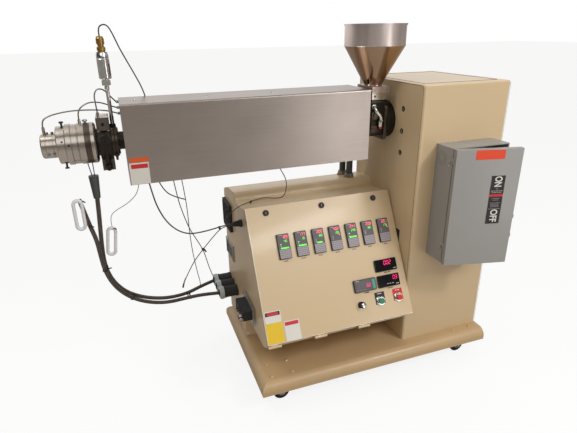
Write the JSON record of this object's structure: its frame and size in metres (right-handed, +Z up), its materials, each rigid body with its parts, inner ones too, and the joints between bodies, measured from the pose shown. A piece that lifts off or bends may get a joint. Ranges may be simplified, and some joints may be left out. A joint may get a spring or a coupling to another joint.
{
  "type": "single-screw laboratory extruder",
  "caption": "Floor-standing extruder with a covered barrel, a steel head, a hopper, a drive cabinet and a control cabinet with a sloped hinged door on a low base.",
  "frame": {"origin": "on the floor at the middle of the box that the machine fills", "axes": "+X along the barrel from the die to the drive cabinet, +Y to the back, away from the operator, +Z up"},
  "size_m": [1.643, 0.7276, 1.4024],
  "materials": {
    "beige_paint": "textured beige enamel",
    "cover_steel": "brushed stainless sheet",
    "grey_paint": "grey hammered enamel",
    "machined_steel": "turned steel",
    "dark_steel": "oil-blackened steel",
    "cast_iron": "dark cast iron",
    "stainless_sheet": "spun stainless steel",
    "chrome_trim": "polished",
    "zinc_plate": "zinc plated",
    "black_plastic": "moulded",
    "green_plastic": "moulded",
    "red_plastic": "moulded",
    "black_rubber": "moulded",
    "steel_braid": "woven braid",
    "clear_plastic": "translucent moulding",
    "wire_sheath": "fibre sleeve"
  },
  "bodies": {
    "machine": {"adapter_flange": "dark_steel", "barrel": "dark_steel", "barrel_cover": "cover_steel", "base_frame": "beige_paint", "cabinet_ends": "beige_paint", "cabinet_pan": "beige_paint", "cabinet_top": "beige_paint", "cabinet_wire": "wire_sheath", "cable_glands": "black_plastic", "cable_links": "clear_plastic", "cable_wire": "wire_sheath", "castor_brackets": "zinc_plate", "conduits": "black_rubber", "cover_posts": "dark_steel", "die_body": "machined_steel", "door_hinges": "beige_paint", "drive_cabinet": "beige_paint", "end_plates": "zinc_plate", "fan_grille": "black_plastic", "feed_bar": "machined_steel", "feed_block": "cast_iron", "feed_plate": "machined_steel", "gland_wire": "wire_sheath", "head_clamp": "dark_steel", "heater_cable_lower": "steel_braid", "heater_cable_upper": "steel_braid", "heater_plug": "black_plastic", "hopper": "stainless_sheet", "jack_block": "black_plastic", "lead_grommets": "black_rubber", "loose_wire": "wire_sheath", "nozzle": "machined_steel", "pedestal": "beige_paint", "pressure_transducer": "machined_steel", "probe_feet": "machined_steel", "probe_lead_front": "steel_braid", "probe_lead_middle": "steel_braid", "probe_lead_rear": "steel_braid", "probe_wire": "wire_sheath", "round_connectors": "black_plastic", "short_wire": "wire_sheath", "switch_box": "grey_paint", "switch_box_hinges": "zinc_plate", "switch_lever": "black_plastic", "tag_wire": "wire_sheath", "thrust_flange": "cast_iron", "transducer_lead": "wire_sheath"},
    "control_door": {"control_door": "beige_paint", "controllers": "black_plastic", "meters": "black_plastic", "door_latches": "black_plastic", "control_bushes": "chrome_trim"},
    "green_button": {"green_button": "green_plastic"},
    "red_button": {"red_button": "red_plastic"},
    "speed_knob": {"speed_knob": "black_plastic"},
    "switch_box_cover": {"switch_box_cover": "grey_paint"},
    "castor_wheel_front_left": {"castor_wheel_front_left": "black_rubber"},
    "castor_wheel_front_right": {"castor_wheel_front_right": "black_rubber"},
    "castor_wheel_back_left": {"castor_wheel_back_left": "black_rubber"},
    "castor_wheel_back_right": {"castor_wheel_back_right": "black_rubber"}
  },
  "joints": [
    {"name": "control_door_hinge", "type": "hinge", "parent": "machine", "child": "control_door", "pos_m": [0.126, -0.2493, 0.29869], "axis": [1, 0, 0], "range_deg": [0, 90]},
    {"name": "green_button_press", "type": "slide", "parent": "control_door", "child": "green_button", "axis": [0, 0.8746, -0.4848], "range_m": [0, 0.004], "stiffness_N_per_m": 500, "springref_m": -0.004},
    {"name": "red_button_press", "type": "slide", "parent": "control_door", "child": "red_button", "axis": [0, 0.8746, -0.4848], "range_m": [0, 0.004], "stiffness_N_per_m": 500, "springref_m": -0.004},
    {"name": "speed_knob_turn", "type": "hinge", "parent": "control_door", "child": "speed_knob", "pos_m": [0.2145, -0.21528, 0.37244], "axis": [0, -0.8746, 0.4848], "range_deg": [-150, 150]},
    {"name": "switch_box_cover_hinge", "type": "hinge", "parent": "machine", "child": "switch_box_cover", "pos_m": [0.5155, -0.28225, 0.757], "axis": [0, 0, -1], "range_deg": [-13.6, 90]},
    {"name": "castor_wheel_front_left_spin", "type": "hinge", "parent": "machine", "child": "castor_wheel_front_left", "pos_m": [-0.1155, -0.18525, 0.034], "axis": [0, 1, 0], "continuous": true},
    {"name": "castor_wheel_front_right_spin", "type": "hinge", "parent": "machine", "child": "castor_wheel_front_right", "pos_m": [0.7285, -0.18525, 0.034], "axis": [0, 1, 0], "continuous": true},
    {"name": "castor_wheel_back_left_spin", "type": "hinge", "parent": "machine", "child": "castor_wheel_back_left", "pos_m": [-0.1155, 0.29575, 0.034], "axis": [0, 1, 0], "continuous": true},
    {"name": "castor_wheel_back_right_spin", "type": "hinge", "parent": "machine", "child": "castor_wheel_back_right", "pos_m": [0.7285, 0.29575, 0.034], "axis": [0, 1, 0], "continuous": true}
  ]
}
